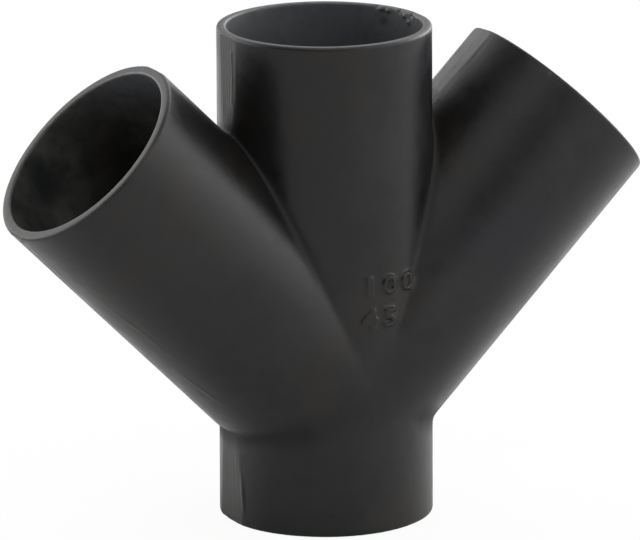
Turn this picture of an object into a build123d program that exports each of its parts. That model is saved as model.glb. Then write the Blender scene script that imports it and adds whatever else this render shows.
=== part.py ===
from build123d import *
import os
from math import cos, radians, sin, sqrt, tan

# Double branch for a cast-iron soil stack of 100 mm bore: one sand casting with plain ends.
# A straight barrel carries the stack, and two equal branches leave it at 45 degrees, one on each side.
# Millimetres. The origin is the middle of the barrel's lower end. +Z runs up the stack, and both
# branches lie in the XZ plane, which is also the plane in which the mould was parted.

# Bore and wall of the barrel
BORE = 100.0
WALL = 5.0

# All round, a branch was cast a little fuller outside than the barrel, and its core was a little
# smaller. So on the front and the back the two upper valleys run together in a V.
BRANCH_FULLNESS = 0.6
BRANCH_CORE_STEP = 0.2

# The branches' slope, and the clear pipe at each end. A spigot is measured from its mouth to the
# corner in which the outlines of barrel and branch would meet without a rounding.
BRANCH_ANGLE = 45.0
LOWER_SPIGOT = 46.4
UPPER_SPIGOT = 52.4
BRANCH_SPIGOT = 56.1

# Each end is dressed to size for its coupling, from the mouth to a short way before the valley
DRESSED_DEPTH = 0.15
DRESSED_RUN_OUT = 2.0
DRESSED_CLEARANCE = 4.5

# Roundings of the valleys outside and of the bore's junction, and the bevel round each mouth
VALLEY_FILLET = 3.0
BORE_JUNCTION_ROUNDING = 2.0
RIM_BEVEL = 1.5

# How far a form that cuts runs out past what it cuts, and how much further back than it has to a
# branch's bar starts inside the barrel
CUT_OVERRUN = 5.0
HIDDEN_OVERLAP = 4.0

# Outer radii, and what follows from the sizes above for a branch and the barrel that cross
ANGLE = radians(BRANCH_ANGLE)
BARREL_RADIUS = BORE / 2 + WALL
BRANCH_RADIUS = BARREL_RADIUS + BRANCH_FULLNESS
CROSSING_HEIGHT = LOWER_SPIGOT - BARREL_RADIUS / tan(ANGLE) + BRANCH_RADIUS / sin(ANGLE)
CROTCH_HEIGHT = CROSSING_HEIGHT + BARREL_RADIUS / tan(ANGLE) + BRANCH_RADIUS / sin(ANGLE)
BARREL_LENGTH = CROTCH_HEIGHT + UPPER_SPIGOT
BRANCH_REACH = (BARREL_RADIUS + BRANCH_RADIUS * cos(ANGLE)) / sin(ANGLE) + BRANCH_SPIGOT

UP = Vector(0, 0, 1)
BASE = Vector(0, 0, 0)
TOP = Vector(0, 0, BARREL_LENGTH)
CROSSING = Vector(0, 0, CROSSING_HEIGHT)
BRANCH_AXIS = Vector(sin(ANGLE), 0, cos(ANGLE))
BRANCH_MOUTH = CROSSING + BRANCH_AXIS * BRANCH_REACH


def round_bar(start, direction, length, radius):
    """A solid round bar from start along direction."""
    return extrude(Plane(origin=start, z_dir=direction) * Circle(radius), amount=length)


def half_form(barrel_radius, branch_radius, rounding, overrun):
    """The right half of the barrel and the right branch as one solid form, with their valleys rounded.

    A branch that is fuller than the barrel stands proud of it for a short way behind the crossing
    too, so its bar starts that far back. The two valleys of a fuller branch run out to the middle
    plane, where they meet those of the other half in a V.
    """
    barrel = round_bar(BASE - UP * overrun, UP, BARREL_LENGTH + 2 * overrun, barrel_radius)
    behind = sqrt(max(branch_radius**2 - barrel_radius**2, 0)) / tan(ANGLE) + HIDDEN_OVERLAP
    length = behind + BRANCH_REACH + overrun
    branch = round_bar(CROSSING - BRANCH_AXIS * behind, BRANCH_AXIS, length, branch_radius)
    room = 2 * (BARREL_LENGTH + BRANCH_REACH)
    form = (barrel + branch) & Pos(room / 2, 0, 0) * Box(room, room, 2 * room)
    valleys = [
        edge for edge in form.edges()
        if edge.geom_type not in (GeomType.LINE, GeomType.CIRCLE) and edge.bounding_box().max.X > 0.001
    ]
    return fillet(valleys, rounding)


def with_left_half(half):
    """A right half together with its mirror image on the left."""
    return half + mirror(half, about=Plane.YZ)


def dressing(mouth, outward, radius, corner_distance, valley_reach):
    """The thin ring that is taken off a plain end, with a run-out that fades into the cast skin."""
    length = corner_distance - valley_reach - DRESSED_CLEARANCE
    dressed, skin = radius - DRESSED_DEPTH, radius + DRESSED_DEPTH
    section = Polyline(
        (dressed, CUT_OVERRUN), (dressed, -length), (skin, -length - 2 * DRESSED_RUN_OUT), (skin, CUT_OVERRUN),
        close=True,
    )
    ring = revolve(Plane.XZ * make_face(section), Axis.Z)
    return Plane(origin=mouth, z_dir=outward) * ring


def mouth_edges(casting, radius):
    """The round edges of that radius at the casting's four mouths."""
    mouths = [BASE, TOP, BRANCH_MOUTH, Vector(-BRANCH_MOUTH.X, 0, BRANCH_MOUTH.Z)]
    rings = casting.edges().filter_by(GeomType.CIRCLE)
    return [
        ring for ring in rings
        if abs(ring.radius - radius) < 1e-4
        and min((ring.arc_center - mouth).length for mouth in mouths) < 1e-4
    ]


def branch_casting():
    """The whole fitting: its outer form, dressed at the ends, less its bore, with bevelled rims."""
    casting = with_left_half(half_form(BARREL_RADIUS, BRANCH_RADIUS, VALLEY_FILLET, 0))
    crotch_reach = VALLEY_FILLET / tan(ANGLE / 2)
    heel_reach = VALLEY_FILLET * tan(ANGLE / 2)
    casting -= dressing(BASE, -UP, BARREL_RADIUS, LOWER_SPIGOT, heel_reach)
    casting -= dressing(TOP, UP, BARREL_RADIUS, UPPER_SPIGOT, crotch_reach)
    branch_ring = dressing(BRANCH_MOUTH, BRANCH_AXIS, BRANCH_RADIUS, BRANCH_SPIGOT, crotch_reach)
    casting -= branch_ring
    casting -= mirror(branch_ring, about=Plane.YZ)

    barrel_bore, branch_bore = BORE / 2, BORE / 2 - BRANCH_CORE_STEP
    casting -= with_left_half(half_form(barrel_bore, branch_bore, BORE_JUNCTION_ROUNDING, CUT_OVERRUN))
    for radius in (BARREL_RADIUS - DRESSED_DEPTH, BRANCH_RADIUS - DRESSED_DEPTH):
        casting = chamfer(mouth_edges(casting, radius), RIM_BEVEL)
    return casting


os.makedirs("parts", exist_ok=True)
export_step(branch_casting(), "parts/branch_casting.step")
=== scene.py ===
"""Looks of a cast-iron double soil branch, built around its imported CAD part.

The casting is modelled again at a finer grain than the CAD node that it replaces. Pipes are joined
and bored, the flash is ground off along the parting line, and figures, burrs and dents are worked
in. The whole is then resampled into one skin, with its valleys rounded and its surface a little
uneven, as a sand casting is.
"""

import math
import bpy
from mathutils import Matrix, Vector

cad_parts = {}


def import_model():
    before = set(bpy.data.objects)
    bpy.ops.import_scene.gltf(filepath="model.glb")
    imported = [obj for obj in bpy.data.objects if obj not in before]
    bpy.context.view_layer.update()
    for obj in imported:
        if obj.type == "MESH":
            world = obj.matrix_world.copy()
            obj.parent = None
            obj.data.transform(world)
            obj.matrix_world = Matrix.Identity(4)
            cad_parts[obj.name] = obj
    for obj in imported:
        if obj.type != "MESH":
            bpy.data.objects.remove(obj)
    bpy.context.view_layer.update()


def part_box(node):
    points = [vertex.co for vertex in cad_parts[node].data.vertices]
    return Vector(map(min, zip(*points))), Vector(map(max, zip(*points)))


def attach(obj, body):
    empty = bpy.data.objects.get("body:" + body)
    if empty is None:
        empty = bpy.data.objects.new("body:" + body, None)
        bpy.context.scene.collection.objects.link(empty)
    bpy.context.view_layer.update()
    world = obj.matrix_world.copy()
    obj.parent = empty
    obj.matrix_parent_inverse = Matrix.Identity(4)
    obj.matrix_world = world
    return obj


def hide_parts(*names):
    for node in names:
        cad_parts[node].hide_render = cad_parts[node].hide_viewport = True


bl_info = {
    "name": "Double Soil Branch",
    "version": (1, 0, 0),
    "blender": (4, 5, 0),
    "location": "View3D > Sidebar > Soil Branch",
    "description": "Models and lights a painted cast-iron double soil branch",
    "category": "Object",
}

import bpy
from mathutils import Matrix, Vector

UP = Vector((0, 0, 1))
FRONT = Vector((0, -1, 0))
RIGHT = Vector((1, 0, 0))


# Shared tools

def select_only(piece):
    """Make a piece the only selected object and the active one."""
    if bpy.context.mode != "OBJECT":
        bpy.ops.object.mode_set(mode="OBJECT")
    bpy.ops.object.select_all(action="DESELECT")
    piece.select_set(True)
    bpy.context.view_layer.objects.active = piece


def set_place(piece):
    """Write the piece's place into its mesh, so that it sits at the origin."""
    select_only(piece)
    bpy.ops.object.transform_apply(location=True, rotation=True, scale=True)


def apply_modifier(piece, kind, **values):
    """Add a modifier to a piece, set it and apply it."""
    select_only(piece)
    modifier = piece.modifiers.new(kind.title(), kind)
    for name, value in values.items():
        setattr(modifier, name, value)
    bpy.ops.object.modifier_apply(modifier=modifier.name)


def combine(piece, tool, operation):
    """Join a tool to a piece, or cut it out, and use it up."""
    apply_modifier(piece, "BOOLEAN", object=tool, operation=operation, solver="EXACT")
    bpy.data.objects.remove(tool)


def add_to(piece, addition):
    """Put a closed addition that overlaps the piece into its mesh. The resampling fuses the two."""
    bpy.ops.object.select_all(action="DESELECT")
    addition.select_set(True)
    piece.select_set(True)
    bpy.context.view_layer.objects.active = piece
    bpy.ops.object.join()


def add_bar(name, start, direction, length, radius, segments):
    """A round bar from a point along a direction."""
    bpy.ops.mesh.primitive_cylinder_add(
        vertices=segments, radius=radius, depth=length,
        location=start + direction * (length / 2),
        rotation=direction.to_track_quat("Z", "Y").to_euler(),
    )
    bar = bpy.context.object
    bar.name = name
    set_place(bar)
    return bar


def add_block(name, start, along, outward, length, width, depth):
    """A block whose inner face runs from a point along a direction and looks away from outward."""
    across = outward.cross(along).normalized()
    outward = along.cross(across)
    bpy.ops.mesh.primitive_cube_add(size=1)
    block = bpy.context.object
    block.name = name
    turn = Matrix((along, across, outward)).transposed().to_4x4()
    middle = start + along * (length / 2) + outward * (depth / 2)
    block.matrix_world = Matrix.Translation(middle) @ turn @ Matrix.Diagonal((length, width, depth, 1))
    set_place(block)
    return block


def add_bead(name, points, radii):
    """A thin round bead through the points, with its own radius at each."""
    bpy.ops.object.select_all(action="DESELECT")
    curve = bpy.data.curves.new(name, "CURVE")
    curve.dimensions = "3D"
    spline = curve.splines.new("POLY")
    spline.points.add(len(points) - 1)
    for point, place, radius in zip(spline.points, points, radii):
        point.co = (*place, 1)
        point.radius = radius / max(radii)
    curve.bevel_depth = max(radii)
    curve.bevel_resolution = 2
    curve.use_fill_caps = True
    bead = bpy.data.objects.new(name, curve)
    bpy.context.collection.objects.link(bead)
    select_only(bead)
    bpy.ops.object.convert(target="MESH")
    return bpy.context.object


def keep_side(piece, side):
    """Cut a piece at the middle plane between the branches and keep one side of it."""
    select_only(piece)
    bpy.ops.object.mode_set(mode="EDIT")
    bpy.ops.mesh.select_all(action="SELECT")
    bpy.ops.mesh.bisect(plane_co=(0, 0, 0), plane_no=(side, 0, 0), clear_inner=True, use_fill=True)
    bpy.ops.object.mode_set(mode="OBJECT")


# Settings

# How lengths, angles and colours are entered
METRES = {"subtype": "DISTANCE", "unit": "LENGTH", "precision": 5}
TURN = {"subtype": "ANGLE", "unit": "ROTATION"}
COLOUR = {"subtype": "COLOR", "size": 3, "min": 0, "max": 1}


class CastingSettings(bpy.types.PropertyGroup):
    """Sizes of the casting, with the pipes of its CAD part, and how its skin is made."""

    barrel_radius: bpy.props.FloatProperty(
        name="Barrel Radius", description="Outer radius of the barrel",
        default=0.055, min=0.01, **METRES)
    barrel_bore: bpy.props.FloatProperty(
        name="Barrel Bore", description="Radius of the barrel's bore",
        default=0.050, min=0.01, **METRES)
    branch_radius: bpy.props.FloatProperty(
        name="Branch Radius", description="Outer radius of each branch",
        default=0.0556, min=0.01, **METRES)
    branch_bore: bpy.props.FloatProperty(
        name="Branch Bore", description="Radius of each branch's bore",
        default=0.0498, min=0.01, **METRES)
    barrel_length: bpy.props.FloatProperty(
        name="Barrel Length", description="Length of the barrel from end to end",
        default=0.25606, min=0.1, **METRES)
    crossing: bpy.props.FloatProperty(
        name="Crossing", description="Height at which the three axes cross",
        default=0.07003, min=0.02, **METRES)
    reach: bpy.props.FloatProperty(
        name="Reach", description="Length of each branch from the crossing to its mouth",
        default=0.18948, min=0.1, **METRES)
    angle: bpy.props.FloatProperty(
        name="Branch Angle", description="Angle between the barrel and each branch",
        default=math.radians(45), **TURN)
    rim_outer: bpy.props.FloatProperty(
        name="Outer Rim", description="How far the outer edge of each mouth is rounded",
        default=0.0014, min=0, **METRES)
    rim_inner: bpy.props.FloatProperty(
        name="Inner Rim", description="How far the inner edge of each mouth is rounded",
        default=0.0006, min=0, **METRES)
    valley: bpy.props.FloatProperty(
        name="Valley Band", description="How far from an outer valley its rounding reaches",
        default=0.0095, min=0.001, **METRES)
    wobble: bpy.props.FloatProperty(
        name="Unevenness", description="Deepest hollow in the cast skin",
        default=0.0002, min=0, **METRES)
    grain: bpy.props.FloatProperty(
        name="Grain", description="Size of the cells into which the skin is resampled",
        default=0.0007, min=0.0005, **METRES)
    segments: bpy.props.IntProperty(
        name="Segments", description="Sides of each round bar", default=256, min=32)
    triangles: bpy.props.IntProperty(
        name="Triangles", description="Most triangles in the finished skin", default=190000, min=10000)


class FigureSettings(bpy.types.PropertyGroup):
    """The raised figures between the branches."""

    upper_row: bpy.props.StringProperty(
        name="Upper Row", description="Plain number in the upper row", default="100")
    lower_row: bpy.props.StringProperty(
        name="Lower Row", description="Plain number in the lower row", default="45")
    height: bpy.props.FloatProperty(
        name="Height", description="Height of a figure",
        default=0.0092, min=0.002, **METRES)
    relief: bpy.props.FloatProperty(
        name="Relief", description="How far a figure's middle stands out of the barrel",
        default=0.0016, min=0, **METRES)
    pitch: bpy.props.FloatProperty(
        name="Pitch", description="Angle round the barrel from one figure to the next",
        default=math.radians(12.2), **TURN)
    start: bpy.props.FloatProperty(
        name="Start", description="Angle of the first figure from the front of the barrel",
        default=math.radians(-1.8), **TURN)
    upper_place: bpy.props.FloatProperty(
        name="Upper Place", description="Height of the middle of the upper row",
        default=0.1302, **METRES)
    lower_place: bpy.props.FloatProperty(
        name="Lower Place", description="Height of the middle of the lower row",
        default=0.1132, **METRES)


class PaintSettings(bpy.types.PropertyGroup):
    """Colours of the thin paint on the iron, with painted shade for the valleys and some dark spots."""

    dark: bpy.props.FloatVectorProperty(
        name="Dark", description="Paint where it lies thick",
        default=(0.0029, 0.0029, 0.0031), **COLOUR)
    pale: bpy.props.FloatVectorProperty(
        name="Pale", description="Paint where it lies thin",
        default=(0.0084, 0.0081, 0.0078), **COLOUR)
    cool: bpy.props.FloatVectorProperty(
        name="Cool", description="Bluish clouds in the paint",
        default=(0.0051, 0.0056, 0.0088), **COLOUR)
    warm: bpy.props.FloatVectorProperty(
        name="Warm", description="Brownish clouds in the paint",
        default=(0.0105, 0.0076, 0.0060), **COLOUR)
    rubbed: bpy.props.FloatVectorProperty(
        name="Rubbed", description="Rims, ground strips and spots, where iron shows through",
        default=(0.060, 0.059, 0.056), **COLOUR)
    # Painted shade: a darker colour in the valleys between barrel and branches and in a dent of the skin
    painted_shade: bpy.props.FloatVectorProperty(
        name="Painted shade", description="Dirt in the valleys and in a pit of the skin",
        default=(0.0014, 0.0014, 0.0014), **COLOUR)
    # Painted shade: dark spots inside the top of the barrel, one of them over the crack
    shade_spot: bpy.props.FloatVectorProperty(
        name="Shade spot", description="Dark shade spots inside the top of the barrel",
        default=(0.008, 0.008, 0.008), **COLOUR)
    bore: bpy.props.FloatVectorProperty(
        name="Bore", description="Paint inside the pipes",
        default=(0.052, 0.054, 0.047), **COLOUR)
    # Paler paint near the top mouth of the barrel, fading with depth into the bore
    top_pale: bpy.props.FloatVectorProperty(
        name="Top pale", description="Paint inside the top of the barrel, under dust",
        default=(0.068, 0.070, 0.076), **COLOUR)


class StageSettings(bpy.types.PropertyGroup):
    """The camera of the photograph and the soft lights around the casting."""

    target: bpy.props.FloatVectorProperty(
        name="Target", description="Point that the camera looks at",
        default=(0, 0, 0.125), subtype="TRANSLATION", unit="LENGTH")
    azimuth: bpy.props.FloatProperty(
        name="Azimuth", description="Turn of the camera about the barrel",
        default=math.radians(-25.86), **TURN)
    elevation: bpy.props.FloatProperty(
        name="Elevation", description="Height of the camera as an angle",
        default=math.radians(14.59), **TURN)
    roll: bpy.props.FloatProperty(
        name="Roll", description="Turn of the picture about the view direction",
        default=math.radians(-0.275), **TURN)
    distance: bpy.props.FloatProperty(
        name="Distance", description="Distance from the camera to its target",
        default=3.951, subtype="DISTANCE", unit="LENGTH")
    lens: bpy.props.FloatProperty(
        name="Lens", description="Focal length of the camera in millimetres, on a 36 mm wide sensor",
        default=433.9, min=10)
    shift: bpy.props.FloatVectorProperty(
        name="Shift", description="Shift of the picture as a share of its width",
        default=(-0.00833, 0.00556), size=2)
    level: bpy.props.FloatProperty(
        name="Level", description="Brightness of all the studio's soft lights together",
        default=1.5, min=0)
    narrowness: bpy.props.FloatProperty(
        name="Narrowness", description="How quickly a soft light fades away from its middle",
        default=9.0, min=1)


# Places on the casting

def along_branch(settings, side):
    """The direction of a branch. The side is -1 on the left and 1 on the right."""
    return Vector((side * math.sin(settings.angle), 0, math.cos(settings.angle)))


def plain_end(settings, end):
    """The middle of a plain end, its outward direction, the direction at 90 degrees, and its radius."""
    if end == "base":
        return Vector(), -UP, RIGHT, settings.barrel_radius
    if end == "top":
        return UP * settings.barrel_length, UP, RIGHT, settings.barrel_radius
    side = {"left": -1, "right": 1}[end]
    outward = along_branch(settings, side)
    upward = Vector((-outward.z * side, 0, outward.x * side))
    return UP * settings.crossing + outward * settings.reach, outward, upward, settings.branch_radius


def on_skin(settings, end, degrees, inward, lift=0.0):
    """A point on the outer skin, and the normal there.

    The angle is counted from the front, towards the right on the barrel and towards the upper side
    on a branch. Inward is the distance from the mouth in millimetres, and lift is how far the point
    stands off the skin, also in millimetres.
    """
    mouth, outward, upward, radius = plain_end(settings, end)
    angle = math.radians(degrees)
    normal = FRONT * math.cos(angle) + upward * math.sin(angle)
    return mouth - outward * (inward / 1000) + normal * (radius + lift / 1000), normal


# The casting

# How far behind the crossing a branch's bar starts, and how far the bore's bars run out of the mouths
BRANCH_BACK = 0.02
BORE_OVERRUN = 0.005

# How far a vertex may lie from the plane of a mouth, and from the circle of its rim
MOUTH_TOLERANCE = 1e-5
RIM_TOLERANCE = 1e-4


def add_pipes(settings, barrel_radius, branch_radius, overrun, name):
    """The barrel and both branches as one solid."""
    crossing = UP * settings.crossing
    length = settings.barrel_length + 2 * overrun
    form = add_bar(name, -UP * overrun, UP, length, barrel_radius, settings.segments)
    for side in (-1, 1):
        direction = along_branch(settings, side)
        branch = add_bar(
            name + "_branch", crossing - direction * BRANCH_BACK, direction,
            BRANCH_BACK + settings.reach + overrun, branch_radius, settings.segments)
        keep_side(branch, side)
        combine(form, branch, "UNION")
    return form


def select_rims(piece, settings, outer):
    """Select the round edges of the mouths, the outer ones or the inner ones."""
    select_only(piece)
    bpy.ops.object.mode_set(mode="EDIT")
    bpy.ops.mesh.select_mode(type="EDGE")
    bpy.ops.mesh.select_all(action="DESELECT")
    bpy.ops.object.mode_set(mode="OBJECT")
    on_rim = set()
    for end in ("base", "top", "left", "right"):
        mouth, outward, _, radius = plain_end(settings, end)
        if not outer:
            radius = settings.barrel_bore if end in ("base", "top") else settings.branch_bore
        for vertex in piece.data.vertices:
            offset = vertex.co - mouth
            in_plane = abs(offset.dot(outward)) < MOUTH_TOLERANCE
            if in_plane and abs(offset.length - radius) < RIM_TOLERANCE:
                on_rim.add(vertex.index)
    for edge in piece.data.edges:
        edge.select = all(index in on_rim for index in edge.vertices)
    bpy.ops.object.mode_set(mode="EDIT")


def bevel_rims(piece, settings):
    """Round the outer and the inner edge of each mouth."""
    for outer, width, segments in ((True, settings.rim_outer, 4), (False, settings.rim_inner, 2)):
        select_rims(piece, settings, outer)
        bpy.ops.mesh.bevel(offset=width, segments=segments, affect="EDGES", profile=0.5)
        bpy.ops.object.mode_set(mode="OBJECT")


# Where the flash was ground off: the end, the middle of the strip in degrees, half its width in
# degrees at the mouth and where the grinding stopped, and its length in millimetres
GROUND_STRIPS = (
    ("base", -91, 13.5, 8.5, 49), ("base", 90, 10, 6, 47),
    ("top", -90, 9.5, 6, 45), ("top", 91, 9, 5, 46),
    ("left", 90, 10, 6, 46), ("left", -90, 8, 5, 52),
    ("right", 99, 12, 9, 42), ("right", -90, 9, 6, 46),
)

# Beads of iron left on the skin: the end, the greatest radius in millimetres, and the points, each
# with its angle in degrees, its distance from the mouth in millimetres and its share of the radius
BURRS = (
    ("base", 1.80, ((-81.6, 44, 0.3), (-80.2, 38, 0.5), (-78.4, 29, 0.7),
                    (-77.0, 19, 1.0), (-76.2, 8, 0.8), (-76.0, 3, 0.3))),
    ("left", 0.40, ((-80, 3, 0.4), (-76, 12, 0.5), (-73, 22, 0.5), (-71, 50, 0.5),
                    (-67, 69, 1.0), (-64.5, 80, 1.0), (-64.2, 95, 0.5))),
    ("left", 0.45, ((-70, 108, 0.3), (-68.8, 117, 1.0), (-65.3, 131, 1.0), (-62, 142, 0.4))),
    ("top", 0.25, ((-81, 5, 0.5), (-80.4, 18, 0.9), (-80.6, 32, 0.5))),
    ("top", 0.20, ((-85, 8, 0.4), (-84.6, 20, 0.9), (-85.4, 36, 0.4))),
    ("right", 0.45, ((87.5, 3, 0.5), (86.6, 16, 0.9), (86.8, 33, 0.7), (78, 36, 0.7), (76.6, 32, 0.3))),
    ("right", 1.20, ((99, 44.5, 0.4), (93, 45.2, 0.9), (86, 46, 1.0), (79, 46.5, 0.5))),
    ("left", 1.20, ((100, 47.5, 0.4), (94, 48, 0.9), (87, 48.5, 1.0), (80, 48.5, 0.5))),
    ("right", 0.40, ((90, 46, 0.5), (90, 50, 0.9), (90, 55, 0.5))),
    ("left", 0.40, ((90, 47, 0.5), (90, 51, 0.9), (90, 55, 0.5))),
)

# Lumps that stand on the skin, and dents in it: the end, the angle in degrees, the distance from the
# mouth, how far their middle stands off the outer skin, and their radius, all lengths in millimetres
LUMPS = (
    ("right", -47, 18.6, -0.5, 1.3), ("right", -44, 20.2, -0.6, 1.2), ("right", -50, 19.4, -0.6, 1.0),
    ("top", 112, 2.4, -0.9, 1.3), ("top", 97, 2.6, -0.9, 1.4), ("top", 103, 3.4, -1.0, 1.5),
    ("top", 118, 1.4, -5.2, 1.2), ("top", 113, 1.8, -5.2, 1.1),
    ("top", 99, 2.6, -5.1, 1.3), ("top", 94.5, 5.2, -5.1, 1.2),
    ("left", -97, 2.0, -0.9, 1.4), ("left", -84, 1.8, -1.0, 1.5), ("left", -88, 4.4, -0.9, 1.3),
)
DENTS = (
    ("top", 93, 0.0, 0.6, 1.7), ("top", 100, -0.5, 0.1, 1.5),
    ("top", 107, -0.6, 0.4, 1.6), ("top", 110, -0.8, -2.4, 1.3),
    ("top", 91.5, 1.4, -4.9, 1.3), ("top", 104, 1.0, -4.9, 1.2), ("top", 122, 0.6, -4.9, 1.1),
    ("left", -19, 0.3, 0.5, 1.6), ("left", 84, 0.4, 0.6, 1.7),
    ("left", 96, 1.0, 0.7, 1.6), ("left", -93, 0.5, 0.8, 1.7),
    ("right", 40, 1.8, 0.9, 1.6), ("right", 37, 0.4, 0.5, 1.2),
    ("base", -23.5, 11.1, 0.9, 1.5), ("base", -97, 1.0, 0.3, 1.8), ("base", -84, 0.5, -0.4, 1.4),
    ("top", -94, 45, 1.0, 1.7),
)

# A cold crack down the bore at the top: angle in degrees, distance from the mouth and radius in
# millimetres
CRACK = ((93.4, -1.0, 0.6), (92.0, 2.0, 0.7), (92.4, 4.2, 0.5), (90.4, 6.8, 0.5), (89.6, 9.2, 0.2))

# Wall of the barrel in millimetres, which is how far the bore lies below the skin
WALL = 5

# The block that grinds a strip, in metres: how far it runs out of the mouth, its width and its height
GRINDER_OVERRUN = 0.004
GRINDER_WIDTH = 0.03
GRINDER_HEIGHT = 0.008

# A bead's middle stands this many millimetres off the skin, less this share of its radius
BURR_LIFT = 0.1
BURR_SINK = 0.55

# How much a lump or a dent is stretched along and across the skin, and flattened towards it
BALL_STRETCH = (1.25, 0.85)
DENT_FLATNESS = 0.9
LUMP_FLATNESS = 0.8


def grind_strips(casting, settings):
    """Grind a flat strip into the skin on either side near each mouth, along the parting line."""
    for end, middle, half_at_mouth, half_at_stop, length in GROUND_STRIPS:
        *_, radius = plain_end(settings, end)
        depths = [1000 * radius * (math.cos(math.radians(half)) - 1)
                  for half in (half_at_mouth, half_at_stop)]
        near, normal = on_skin(settings, end, middle, 0, depths[0])
        far, _ = on_skin(settings, end, middle, length, depths[1])
        along = (near - far).normalized()
        block = add_block("grinder", far, along, normal, length / 1000 + GRINDER_OVERRUN,
                          GRINDER_WIDTH, GRINDER_HEIGHT)
        combine(casting, block, "DIFFERENCE")


def add_burrs(casting, settings):
    """Add the beads of iron that were left on the skin."""
    for end, radius, points in BURRS:
        lift = BURR_LIFT - BURR_SINK * radius
        places = [on_skin(settings, end, degrees, inward, lift)[0] for degrees, inward, _ in points]
        add_to(casting, add_bead("burr", places, [radius * share / 1000 for *_, share in points]))


def add_ball(settings, end, degrees, inward, lift, radius, flatness):
    """A rough ball on the skin, flattened across it."""
    place, normal = on_skin(settings, end, degrees, inward, lift)
    bpy.ops.mesh.primitive_ico_sphere_add(
        subdivisions=2, radius=radius / 1000, location=place,
        rotation=normal.to_track_quat("Z", "Y").to_euler(), scale=(*BALL_STRETCH, flatness))
    ball = bpy.context.object
    set_place(ball)
    return ball


def add_marks(casting, settings):
    """Work in the dents, the crack and the lumps."""
    for mark in DENTS:
        combine(casting, add_ball(settings, *mark, DENT_FLATNESS), "DIFFERENCE")
    places = [on_skin(settings, "top", degrees, inward, -WALL)[0] for degrees, inward, _ in CRACK]
    combine(casting, add_bead("crack", places, [radius / 1000 for *_, radius in CRACK]), "DIFFERENCE")
    for mark in LUMPS:
        add_to(casting, add_ball(settings, *mark, LUMP_FLATNESS))


# How much wider than the typeface a figure is, and its type size and the thickening of its strokes,
# both as a share of the figure's height
FIGURE_STRETCH = 1.3
FIGURE_TYPE = 1.38
FIGURE_STROKE = 0.045


def add_figure(casting, settings, figures, character, angle, height):
    """Add one raised figure, upright on the front of the barrel."""
    place, _ = on_skin(settings, "base", math.degrees(angle), height * 1000)
    bpy.ops.object.text_add(location=place, rotation=(math.radians(90), 0, angle))
    text = bpy.context.object
    text.scale.x = FIGURE_STRETCH
    text.data.body = character
    text.data.align_x = "CENTER"
    text.data.align_y = "CENTER"
    text.data.size = figures.height * FIGURE_TYPE
    text.data.offset = figures.height * FIGURE_STROKE
    text.data.extrude = figures.relief
    select_only(text)
    bpy.ops.object.convert(target="MESH")
    figure = bpy.context.object
    set_place(figure)
    add_to(casting, figure)


# How much narrower the band of the bore's junction is than that of an outer valley
JUNCTION_NARROWNESS = 2

# The figures lie no further to the right than this, a point this far off the pipes belongs to one,
# and the skin beside them is smoothed by this share
FIGURES_REACH = 0.03
FIGURE_PROUDNESS = 0.0002
FIGURES_SHARE = 0.3

# Passes of smoothing in the valleys, the steps in which they fade out beside them, and the gain that
# gives the middle of the band its full share
VALLEY_PASSES = 80
VALLEY_STEPS = 8
VALLEY_GAIN = 1.4


def beside_branch(settings, point):
    """How far a point lies along the axis of the branch on its side, and how far from that axis."""
    offset = Vector((abs(point.x), point.y, point.z - settings.crossing))
    along = offset.dot(along_branch(settings, 1))
    return along, math.sqrt(max(offset.length_squared - along * along, 0))


def near_valley(settings, figures, point):
    """How near a point of the skin is to a valley or to the bore's junction, from 0 to 1.

    The figures are left out, and the skin between them counts for less.
    """
    from_barrel = math.hypot(point.x, point.y)
    along, from_branch = beside_branch(settings, point)
    if along < 0:
        return 0
    outside = max(abs(from_barrel - settings.barrel_radius), abs(from_branch - settings.branch_radius))
    inside = max(abs(from_barrel - settings.barrel_bore), abs(from_branch - settings.branch_bore))
    weight = max(0, 1 - min(outside, inside * JUNCTION_NARROWNESS) / settings.valley)
    lowest, highest = figures.lower_place - figures.height, figures.upper_place + figures.height
    if point.y < 0 and point.x < FIGURES_REACH and lowest < point.z < highest:
        off_skin = min(from_barrel - settings.barrel_radius, from_branch - settings.branch_radius)
        return 0 if off_skin > FIGURE_PROUDNESS else weight * FIGURES_SHARE
    return weight


def round_valleys(casting, settings, figures):
    """Smooth the skin near the valleys, and less so away from them."""
    levels = [[] for _ in range(VALLEY_STEPS + 1)]
    for vertex in casting.data.vertices:
        weight = near_valley(settings, figures, vertex.co)
        if weight > 0:
            level = min(VALLEY_STEPS, math.ceil(weight * VALLEY_STEPS * VALLEY_GAIN))
            levels[level].append(vertex.index)
    if not any(levels):
        raise RuntimeError("the casting has no valleys to round")
    group = casting.vertex_groups.new(name="valleys")
    for level, indices in enumerate(levels):
        if indices:
            group.add(indices, level / VALLEY_STEPS, "REPLACE")
    apply_modifier(casting, "SMOOTH", factor=SMOOTHING, iterations=VALLEY_PASSES,
                   vertex_group=group.name)
    casting.vertex_groups.clear()


# The unevenness of the skin: the name of its clouds, their size, and their share of its depth
WOBBLES = (("slow", 0.045, 0.7), ("quick", 0.011, 0.3))

# A face whose middle lies no further than this outside a bore's radius is part of the bore's wall
BORE_MARGIN = 0.0012


def add_wobble(casting, settings):
    """Sink the skin a little here and there, never outwards."""
    for name, size, share in WOBBLES:
        texture = bpy.data.textures.new("wobble_" + name, "CLOUDS")
        texture.noise_scale = size
        texture.noise_depth = 1
        apply_modifier(casting, "DISPLACE", texture=texture, texture_coords="LOCAL",
                       mid_level=1.0, strength=settings.wobble * share)


def keep_in_box(casting):
    """Press back what stands out of the CAD part's box, such as the face of a figure."""
    low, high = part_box("branch_casting")
    for vertex in casting.data.vertices:
        vertex.co = [min(max(value, least), most) for value, least, most in zip(vertex.co, low, high)]


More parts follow.
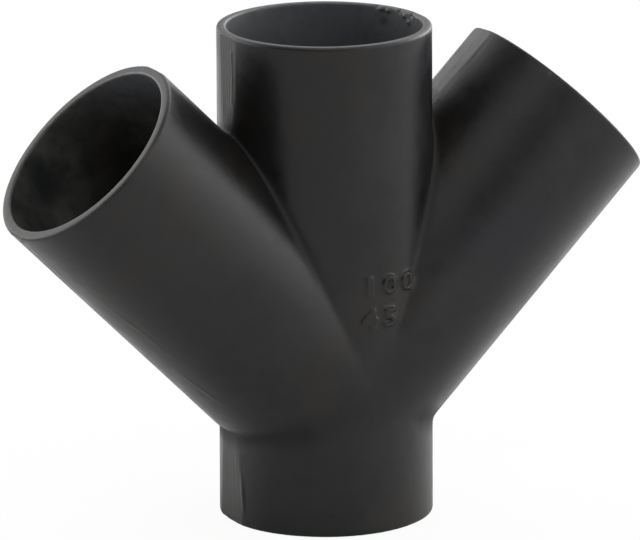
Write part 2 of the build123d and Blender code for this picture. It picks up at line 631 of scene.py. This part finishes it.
def in_bore(settings, point):
    """Whether a point lies on the wall of one of the bores."""
    along, from_branch = beside_branch(settings, point)
    return (math.hypot(point.x, point.y) < settings.barrel_bore + BORE_MARGIN
            or (along > 0 and from_branch < settings.branch_bore + BORE_MARGIN))


def paint_bore(casting, settings):
    """Give the second material to the faces inside the pipes."""
    for face in casting.data.polygons:
        if in_bore(settings, face.center):
            face.material_index = 1


# How far a pass of smoothing moves a vertex towards its neighbours, the passes after the resampling,
# and the fewest triangles that a sound skin has
SMOOTHING = 0.5
SKIN_PASSES = 2
FEWEST_TRIANGLES = 1000


class SOILBRANCH_OT_casting(bpy.types.Operator):
    """Model the casting: a barrel with two branches, bored, ground and resampled"""

    bl_idname = "soilbranch.casting"
    bl_label = "Model Casting"

    def execute(self, context):
        scene = context.scene
        settings, figures = scene.casting_settings, scene.figure_settings
        casting = add_pipes(settings, settings.barrel_radius, settings.branch_radius, 0, "casting")
        bore = add_pipes(settings, settings.barrel_bore, settings.branch_bore, BORE_OVERRUN, "bore")
        combine(casting, bore, "DIFFERENCE")
        bevel_rims(casting, settings)
        grind_strips(casting, settings)
        add_marks(casting, settings)
        add_burrs(casting, settings)
        for row, height in ((figures.upper_row, figures.upper_place),
                            (figures.lower_row, figures.lower_place)):
            for place, character in enumerate(row):
                angle = figures.start + place * figures.pitch
                add_figure(casting, settings, figures, character, angle, height)
        apply_modifier(casting, "REMESH", mode="VOXEL", voxel_size=settings.grain)
        count = len(casting.data.polygons) * 2
        if count < FEWEST_TRIANGLES:
            raise RuntimeError("the casting's skin came out empty")
        apply_modifier(casting, "SMOOTH", factor=SMOOTHING, iterations=SKIN_PASSES)
        round_valleys(casting, settings, figures)
        add_wobble(casting, settings)
        apply_modifier(casting, "DECIMATE", ratio=min(1.0, settings.triangles / count))
        keep_in_box(casting)
        select_only(casting)
        bpy.ops.object.shade_smooth()
        colours = scene.paint_settings
        casting.data.materials.append(make_skin_paint(colours, settings))
        casting.data.materials.append(make_bore_paint(colours, settings))
        paint_bore(casting, settings)
        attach(casting, "root")
        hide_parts("branch_casting")
        return {"FINISHED"}


# Materials

def put(tree, kind, options=None, sockets=None):
    """Add a node, set its options, and fill or link its inputs."""
    node = tree.nodes.new(kind)
    for name, value in (options or {}).items():
        setattr(node, name, value)
    for name, value in (sockets or {}).items():
        if isinstance(value, bpy.types.NodeSocket):
            tree.links.new(value, node.inputs[name])
        else:
            node.inputs[name].default_value = value
    return node


def reckon(tree, operation, first, second=0.0):
    """The result of a sum on one or two values."""
    return put(tree, "ShaderNodeMath", {"operation": operation}, {0: first, 1: second}).outputs[0]


def times(tree, first, second):
    """The product of two values."""
    return reckon(tree, "MULTIPLY", first, second)


def plus(tree, first, second):
    """The sum of two values."""
    return reckon(tree, "ADD", first, second)


def minus(tree, first, second):
    """The first value less the second."""
    return reckon(tree, "SUBTRACT", first, second)


def blend_value(tree, factor, first, second):
    """A value between two others."""
    sockets = {0: factor, 2: first, 3: second}
    return put(tree, "ShaderNodeMix", {"data_type": "FLOAT"}, sockets).outputs[0]


def blend_colour(tree, factor, first, second):
    """A colour between two others."""
    sockets = {0: factor, 6: first, 7: second}
    return put(tree, "ShaderNodeMix", {"data_type": "RGBA"}, sockets).outputs[2]


def ramp(tree, value, low, high, start=0.0, end=1.0):
    """A value moved smoothly from one range to another."""
    options = {"interpolation_type": "SMOOTHSTEP"}
    sockets = {"Value": value, "From Min": low, "From Max": high, "To Min": start, "To Max": end}
    return put(tree, "ShaderNodeMapRange", options, sockets).outputs["Result"]


def noise(tree, vector, scale, detail=2.0, roughness=0.5):
    """Cloudy noise, from 0 to 1."""
    sockets = {"Vector": vector, "Scale": scale, "Detail": detail, "Roughness": roughness}
    return put(tree, "ShaderNodeTexNoise", {}, sockets).outputs["Fac"]


def start_group(name, inputs, outputs):
    """A new node group with its named sockets, each a vector or a float."""
    group = bpy.data.node_groups.new(name, "ShaderNodeTree")
    for socket, kind, value in inputs:
        made = group.interface.new_socket(name=socket, in_out="INPUT", socket_type="NodeSocket" + kind)
        if value is not None:
            made.default_value = value
    for socket, kind in outputs:
        group.interface.new_socket(name=socket, in_out="OUTPUT", socket_type="NodeSocket" + kind)
    return group, put(group, "NodeGroupInput").outputs


def finish_group(group, results):
    """Link the group's results to its outputs."""
    put(group, "NodeGroupOutput", {}, results)


def clouds_group():
    """Slow clouds in paint: how thin it lies, and where it turns cool or warm."""
    group, given = start_group("Paint Clouds", (
        ("Vector", "Vector", None), ("Scale", "Float", 20.0),
    ), (("Thin", "Float"), ("Cool", "Float"), ("Warm", "Float")))
    slow = noise(group, given["Vector"], given["Scale"], detail=3.0, roughness=0.55)
    quick = noise(group, given["Vector"], times(group, given["Scale"], 7.0), detail=4.0, roughness=0.6)
    both = plus(group, times(group, slow, 0.65), times(group, quick, 0.35))
    elsewhere = (0.37, 0.11, 0.73)
    moved = put(group, "ShaderNodeVectorMath", {"operation": "ADD"}, {0: given["Vector"], 1: elsewhere})
    tint = noise(group, moved.outputs[0], times(group, given["Scale"], 0.8))
    finish_group(group, {
        "Thin": ramp(group, both, low=0.36, high=0.64),
        "Cool": ramp(group, tint, low=0.53, high=0.68),
        "Warm": ramp(group, tint, low=0.46, high=0.33),
    })


def grain_group():
    """The height of a cast skin under paint: fine sand grain on soft orange peel."""
    group, given = start_group("Cast Grain", (
        ("Vector", "Vector", None), ("Sand", "Float", 0.4),
        ("Peel", "Float", 0.6),
    ), (("Height", "Float"),))
    sand = noise(group, given["Vector"], scale=900.0, detail=3.0, roughness=0.6)
    peel = noise(group, given["Vector"], scale=170.0, detail=2.0, roughness=0.45)
    height = plus(group, times(group, sand, given["Sand"]), times(group, peel, given["Peel"]))
    finish_group(group, {"Height": height})


# Raggedness of a rubbed rim in metres, and the width over which it fades
RIM_RAGGEDNESS = 0.0008
RIM_FADE = 0.0004

# Where a ground strip has faded out and where it is full: its half width, and its distance from the
# mouth, in metres
STRIP_SIDE = (0.011, 0.007)
STRIP_END = (0.052, 0.044)

# Where the painted shade of a valley has faded out and where it is full: towards the front and the
# back, and along the branches from the crossing, in metres
VALLEY_SIDE = (0.053, 0.044)
VALLEY_START = (0.0, 0.01)


def place_by_branch(group, vector, settings):
    """A point's distance from each middle plane, over the crossing, along the branch, and its height."""
    split = put(group, "ShaderNodeSeparateXYZ", {}, {0: vector}).outputs
    aside, beside = reckon(group, "ABSOLUTE", split["X"]), reckon(group, "ABSOLUTE", split["Y"])
    above = minus(group, split["Z"], settings.crossing)
    along = plus(group, times(group, aside, math.sin(settings.angle)),
                 times(group, above, math.cos(settings.angle)))
    return aside, beside, above, along, split["Z"]


def mouths_group(settings):
    """How far a point is from the nearest mouth, how near to a rim, and how near to a ground strip."""
    group, given = start_group("Mouths", (
        ("Vector", "Vector", None), ("Rim", "Float", 0.0012),
    ), (("Inward", "Float"), ("Rim", "Float"), ("Strip", "Float")))
    _, beside, _, along, height = place_by_branch(group, given["Vector"], settings)
    branch = minus(group, settings.reach, along)
    top = minus(group, settings.barrel_length, height)
    inward = reckon(group, "MINIMUM", reckon(group, "MINIMUM", branch, top), height)
    ragged = times(group, noise(group, given["Vector"], scale=300.0), RIM_RAGGEDNESS)
    finish_group(group, {
        "Inward": inward,
        "Rim": ramp(group, plus(group, inward, ragged), plus(group, given["Rim"], RIM_FADE), RIM_FADE),
        "Strip": times(group, ramp(group, beside, *STRIP_SIDE), ramp(group, inward, *STRIP_END)),
    })


def valleys_group(settings):
    """How near a point is to a valley between barrel and branch, where shade is painted into the colour.
    """
    group, given = start_group("Valleys", (
        ("Vector", "Vector", None), ("Width", "Float", 0.006),
    ), (("Valley", "Float"),))
    aside, beside, above, along, _ = place_by_branch(group, given["Vector"], settings)
    level = plus(group, times(group, aside, aside), times(group, beside, beside))
    square = plus(group, level, times(group, above, above))
    rest = reckon(group, "MAXIMUM", minus(group, square, times(group, along, along)), 0.0)
    from_barrel = minus(group, reckon(group, "SQRT", level), settings.barrel_radius)
    from_branch = minus(group, reckon(group, "SQRT", rest), settings.branch_radius)
    apart = reckon(group, "MAXIMUM",
                   reckon(group, "ABSOLUTE", from_barrel), reckon(group, "ABSOLUTE", from_branch))
    near = times(group, ramp(group, apart, given["Width"], 0.0), ramp(group, beside, *VALLEY_SIDE))
    finish_group(group, {"Valley": times(group, near, ramp(group, along, *VALLEY_START))})


def streaks_group():
    """Marks of a file or a brush that run along the pipe."""
    group, given = start_group("Streaks", (
        ("Vector", "Vector", None), ("Inward", "Float", 0.0),
        ("Fineness", "Float", 500.0),
    ), (("Streak", "Float"),))
    split = put(group, "ShaderNodeSeparateXYZ", {}, {0: given["Vector"]}).outputs
    place = put(group, "ShaderNodeCombineXYZ", {}, {
        0: times(group, split["Y"], given["Fineness"]),
        1: times(group, given["Inward"], 28.0),
    })
    marks = noise(group, place.outputs[0], scale=1.0, detail=3.0, roughness=0.6)
    finish_group(group, {"Streak": ramp(group, marks, low=0.35, high=0.7)})


def spot_group():
    """A small ragged spot around a point."""
    group, given = start_group("Spot", (
        ("Vector", "Vector", None), ("Middle", "Vector", None),
        ("Radius", "Float", 0.002),
    ), (("Mask", "Float"),))
    apart = put(group, "ShaderNodeVectorMath", {"operation": "DISTANCE"},
                {0: given["Vector"], 1: given["Middle"]})
    ragged = times(group, noise(group, given["Vector"], scale=500.0), given["Radius"])
    distance = plus(group, apart.outputs["Value"], ragged)
    inner, outer = times(group, given["Radius"], 0.7), times(group, given["Radius"], 1.5)
    finish_group(group, {"Mask": ramp(group, distance, low=outer, high=inner)})


def use_group(tree, group, sockets):
    """Place a group in a material and fill its inputs."""
    return put(tree, "ShaderNodeGroup", {"node_tree": group}, sockets).outputs


def start_material(name):
    """A new material with its tree, its shader and the object's coordinates."""
    material = bpy.data.materials.new(name)
    material.use_nodes = True
    tree = material.node_tree
    shader = tree.nodes["Principled BSDF"]
    place = put(tree, "ShaderNodeTexCoord").outputs["Object"]
    return material, tree, shader, place


def shared_groups(settings):
    """The node groups of the casting's paints, made once."""
    made = bpy.data.node_groups
    if "Paint Clouds" not in made:
        clouds_group()
        grain_group()
        mouths_group(settings)
        valleys_group(settings)
        streaks_group()
        spot_group()
    return made


def opaque(colour):
    """A colour with full alpha."""
    return (*colour, 1)


def cover(tree, under, mask, share, over):
    """A colour laid over another one through a share of a mask."""
    return blend_colour(tree, times(tree, mask, share), under, opaque(over))


def cloud_colour(tree, colours, clouds, thick, thin, cool, warm):
    """Paint between its colours where it lies thick and thin, with shares of cool and warm clouds."""
    colour = blend_colour(tree, clouds["Thin"], opaque(thick), opaque(thin))
    colour = cover(tree, colour, clouds["Cool"], cool, colours.cool)
    return cover(tree, colour, clouds["Warm"], warm, colours.warm)


# Spots in the paint outside and in the bores: the end, the angle in degrees, the distance from the
# mouth in millimetres, the radius in metres, how strongly the spot shows, and its colour's name. The
# dark spots are painted shade; the rubbed ones are worn paint.
SKIN_SPOTS = (
    ("right", -47, 19, 0.0032, 1.0, "rubbed"), ("right", 88, 45.5, 0.0030, 0.3, "rubbed"),
    ("right", 40, 2, 0.0018, 0.3, "rubbed"), ("base", -23.5, 11.1, 0.0030, 0.6, "painted_shade"),
)
BORE_SPOTS = (
    ("top", 117, 8, 0.0035, 0.7, "shade_spot"), ("top", 93, 4, 0.0022, 0.5, "shade_spot"),
    ("top", 162, 9, 0.0050, 0.35, "rubbed"), ("top", 150, 5, 0.0030, 0.3, "rubbed"),
    ("top", 101, 3, 0.0026, 0.4, "rubbed"),
)

# Specular level of the paint outside, and roughness of a rubbed rim
SKIN_SPECULAR = 0.33
RIM_ROUGHNESS = 0.38

# How far below the top the paler band in the bore has faded out, and where it lies full, in metres
PALE_DEPTH = (0.055, 0.015)


def add_spots(tree, colour, place, colours, settings, spots, lift):
    """A colour with the spots of a table on it."""
    for end, degrees, inward, radius, share, tone in spots:
        middle = on_skin(settings, end, degrees, inward, lift)[0]
        sockets = {"Vector": place, "Middle": middle, "Radius": radius}
        mask = use_group(tree, shared_groups(settings)["Spot"], sockets)["Mask"]
        colour = cover(tree, colour, mask, share, getattr(colours, tone))
    return colour


def add_bump(tree, shader, strength, distance, height):
    """Give a shader small relief, of which the distance is the depth in metres."""
    sockets = {"Strength": strength, "Distance": distance, "Height": height}
    tree.links.new(put(tree, "ShaderNodeBump", {}, sockets).outputs["Normal"], shader.inputs["Normal"])


def start_paint(name, settings, scale, rim, fineness):
    """A new material with its tree, shader and coordinates, its clouds, its mouths and its streaks."""
    groups = shared_groups(settings)
    material, tree, shader, place = start_material(name)
    clouds = use_group(tree, groups["Paint Clouds"], {"Vector": place, "Scale": scale})
    mouths = use_group(tree, groups["Mouths"], {"Vector": place, "Rim": rim})
    sockets = {"Vector": place, "Inward": mouths["Inward"], "Fineness": fineness}
    streak = use_group(tree, groups["Streaks"], sockets)["Streak"]
    return material, tree, shader, place, clouds, mouths, streak


def make_skin_paint(colours, settings):
    """Thin satin paint on the outside, rubbed at the rims and on the ground strips, with painted shade
    in the valleys and in a dent.
    """
    material, tree, shader, place, clouds, mouths, streak = start_paint(
        "skin_paint", settings, scale=17.0, rim=0.0014, fineness=650.0)
    groups = shared_groups(settings)
    valley = use_group(tree, groups["Valleys"], {"Vector": place, "Width": 0.006})["Valley"]
    ground = times(tree, mouths["Strip"], streak)
    colour = cloud_colour(tree, colours, clouds, colours.dark, colours.pale, cool=0.7, warm=0.6)
    colour = cover(tree, colour, ground, share=0.35, over=colours.rubbed)
    colour = cover(tree, colour, mouths["Rim"], share=0.4, over=colours.rubbed)
    # The spots include painted shade in a dent of the base
    colour = add_spots(tree, colour, place, colours, settings, SKIN_SPOTS, lift=0)
    # Painted shade: the valleys between barrel and branches are darkened in colour
    colour = cover(tree, colour, valley, share=0.8, over=colours.painted_shade)
    tree.links.new(colour, shader.inputs["Base Color"])
    shader.inputs["Specular IOR Level"].default_value = SKIN_SPECULAR
    rough = ramp(tree, clouds["Thin"], low=0.0, high=1.0, start=0.29, end=0.38)
    rough = blend_value(tree, ground, rough, second=0.50)
    rough = blend_value(tree, valley, rough, second=0.62)
    rough = blend_value(tree, mouths["Rim"], rough, RIM_ROUGHNESS)
    tree.links.new(rough, shader.inputs["Roughness"])
    grain = use_group(tree, groups["Cast Grain"], {"Vector": place, "Sand": 0.35, "Peel": 0.65})
    height = plus(tree, grain["Height"], times(tree, ground, 0.6))
    add_bump(tree, shader, strength=0.45, distance=0.0003, height=height)
    return material


def make_bore_paint(colours, settings):
    """Paint inside the pipes, which ran and dried in ripples, with painted shade spots and a band paler
    near the top.
    """
    material, tree, shader, place, clouds, mouths, streak = start_paint(
        "bore_paint", settings, scale=26.0, rim=0.0012, fineness=120.0)
    colour = cloud_colour(tree, colours, clouds, colours.bore, colours.pale, cool=0.8, warm=0.6)
    height = put(tree, "ShaderNodeSeparateXYZ", {}, {0: place}).outputs["Z"]
    depth = minus(tree, settings.barrel_length, height)
    patches = ramp(tree, clouds["Thin"], low=0.0, high=1.0, start=1.0, end=0.6)
    # Paler near the top mouth, fading deeper into the bore, in patches
    pale_band = times(tree, ramp(tree, depth, *PALE_DEPTH), patches)
    colour = blend_colour(tree, pale_band, colour, opaque(colours.top_pale))
    colour = cover(tree, colour, mouths["Rim"], share=0.4, over=colours.rubbed)
    # The dark spots here are painted shade, one of them over the crack
    colour = add_spots(tree, colour, place, colours, settings, BORE_SPOTS, lift=-WALL)
    tree.links.new(colour, shader.inputs["Base Color"])
    rough = ramp(tree, clouds["Thin"], low=0.0, high=1.0, start=0.42, end=0.56)
    rough = blend_value(tree, mouths["Rim"], rough, RIM_ROUGHNESS)
    tree.links.new(rough, shader.inputs["Roughness"])
    sockets = {"Vector": place, "Sand": 0.3, "Peel": 0.7}
    grain = use_group(tree, shared_groups(settings)["Cast Grain"], sockets)
    relief = plus(tree, grain["Height"], times(tree, streak, 0.5))
    add_bump(tree, shader, strength=0.5, distance=0.0004, height=relief)
    return material


# The stage

def way_towards(angle, height):
    """The direction at an angle about the barrel, counted from the front, and at a height above it."""
    level = math.cos(height)
    return math.sin(angle) * level, -math.cos(angle) * level, math.sin(height)


def camera_axes(settings):
    """The camera's right, up and back directions, before its roll."""
    back = Vector(way_towards(settings.azimuth, settings.elevation))
    right = Vector((math.cos(settings.azimuth), math.sin(settings.azimuth), 0))
    return right, back.cross(right), back


def place_camera(context, settings):
    """The camera of the photograph."""
    right, up, back = camera_axes(settings)
    bpy.ops.object.camera_add()
    camera = bpy.context.object
    camera.name = "camera"
    place = Matrix((right, up, back)).transposed().to_4x4() @ Matrix.Rotation(settings.roll, 4, "Z")
    place.translation = Vector(settings.target) + back * settings.distance
    camera.matrix_world = place
    camera.data.sensor_fit = "HORIZONTAL"
    camera.data.sensor_width = 36
    camera.data.lens = settings.lens
    camera.data.shift_x, camera.data.shift_y = settings.shift
    camera.data.clip_end = 50
    context.scene.camera = camera


# The broad soft lights around the casting: where each one's middle is, as an angle in degrees from
# the camera towards the right and another above the floor, and how bright it is
SOFT_LIGHTS = (
    (0, 55, 1.2), (50, 10, 0.85), (70, 12, 0.5), (95, 10, 0.5), (118, 10, 1.9), (140, 10, 2.7),
    (-95, 10, 1.8), (-118, 10, 1.0), (-140, 10, 0.9), (80, 50, 0.4), (180, 50, 1.1),
)

# Plain white, the floor's paper, and the share of the paper that the camera sees as plain white
WHITE = (1, 1, 1, 1)
PAPER = (0.85, 0.85, 0.85, 1)
PAPER_ROUGHNESS = 0.9
PAPER_GLOW = 0.93

# Width of the floor, and how far below the casting it lies
FLOOR_SIZE = 16
FLOOR_DROP = 0.0002


def make_world(context, settings):
    """A dark studio with broad soft lights around the casting, and white where the camera sees it."""
    world = bpy.data.worlds.new("studio")
    context.scene.world = world
    world.use_nodes = True
    tree = world.node_tree
    tree.nodes.clear()
    way = put(tree, "ShaderNodeTexCoord").outputs["Generated"]
    strength = 0.0
    for turn, height, brightness in SOFT_LIGHTS:
        middle = way_towards(settings.azimuth + math.radians(turn), math.radians(height))
        facing = put(tree, "ShaderNodeVectorMath", {"operation": "DOT_PRODUCT"}, {0: way, 1: middle})
        facing = reckon(tree, "MAXIMUM", facing.outputs["Value"], 0.0)
        glow = reckon(tree, "POWER", facing, settings.narrowness)
        strength = plus(tree, times(tree, glow, brightness * settings.level), strength)
    light = put(tree, "ShaderNodeBackground", {}, {"Color": WHITE, "Strength": strength})
    seen = put(tree, "ShaderNodeBackground", {}, {"Color": WHITE, "Strength": 1.0})
    path = put(tree, "ShaderNodeLightPath")
    mix = put(tree, "ShaderNodeMixShader", {}, {
        0: path.outputs["Is Camera Ray"], 1: light.outputs[0], 2: seen.outputs[0]})
    put(tree, "ShaderNodeOutputWorld", {}, {"Surface": mix.outputs[0]})


def make_floor_paint():
    """White paper that stays white to the camera and keeps a shadow."""
    material, tree, shader, _ = start_material("floor_paper")
    shader.inputs["Base Color"].default_value = PAPER
    shader.inputs["Roughness"].default_value = PAPER_ROUGHNESS
    glow = put(tree, "ShaderNodeEmission", {}, {"Color": WHITE, "Strength": 1.0})
    path = put(tree, "ShaderNodeLightPath")
    share = times(tree, path.outputs["Is Camera Ray"], PAPER_GLOW)
    mix = put(tree, "ShaderNodeMixShader", {}, {0: share, 1: shader.outputs[0], 2: glow.outputs[0]})
    tree.links.new(mix.outputs[0], tree.nodes["Material Output"].inputs["Surface"])
    return material


class SOILBRANCH_OT_stage(bpy.types.Operator):
    """Set up the floor, the soft lights and the camera"""

    bl_idname = "soilbranch.stage"
    bl_label = "Set Up Stage"

    def execute(self, context):
        settings = context.scene.stage_settings
        bpy.ops.mesh.primitive_plane_add(size=FLOOR_SIZE, location=(0, 0, -FLOOR_DROP))
        floor = bpy.context.object
        floor.name = "floor"
        floor.data.materials.append(make_floor_paint())
        make_world(context, settings)
        place_camera(context, settings)
        context.scene.view_settings.view_transform = "Standard"
        return {"FINISHED"}


class SOILBRANCH_PT_panel(bpy.types.Panel):
    """Settings and steps of the soil branch"""

    bl_idname = "SOILBRANCH_PT_panel"
    bl_label = "Soil Branch"
    bl_space_type = "VIEW_3D"
    bl_region_type = "UI"
    bl_category = "Soil Branch"

    def draw(self, context):
        scene = context.scene
        of_casting = (scene.casting_settings, scene.figure_settings, scene.paint_settings)
        for operator, groups in ((SOILBRANCH_OT_casting, of_casting),
                                 (SOILBRANCH_OT_stage, (scene.stage_settings,))):
            box = self.layout.box()
            for settings in groups:
                for name in settings.__annotations__:
                    box.prop(settings, name)
            box.operator(operator.bl_idname)


SETTINGS = {
    "casting_settings": CastingSettings, "figure_settings": FigureSettings,
    "paint_settings": PaintSettings, "stage_settings": StageSettings,
}
CLASSES = (*SETTINGS.values(), SOILBRANCH_OT_casting, SOILBRANCH_OT_stage, SOILBRANCH_PT_panel)


def register():
    for cls in CLASSES:
        bpy.utils.register_class(cls)
    for name, group in SETTINGS.items():
        setattr(bpy.types.Scene, name, bpy.props.PointerProperty(type=group))


def unregister():
    for name in SETTINGS:
        delattr(bpy.types.Scene, name)
    for cls in reversed(CLASSES):
        bpy.utils.unregister_class(cls)


def main():
    register()
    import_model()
    bpy.ops.soilbranch.casting()
    bpy.ops.soilbranch.stage()


if __name__ == "__main__":
    main()
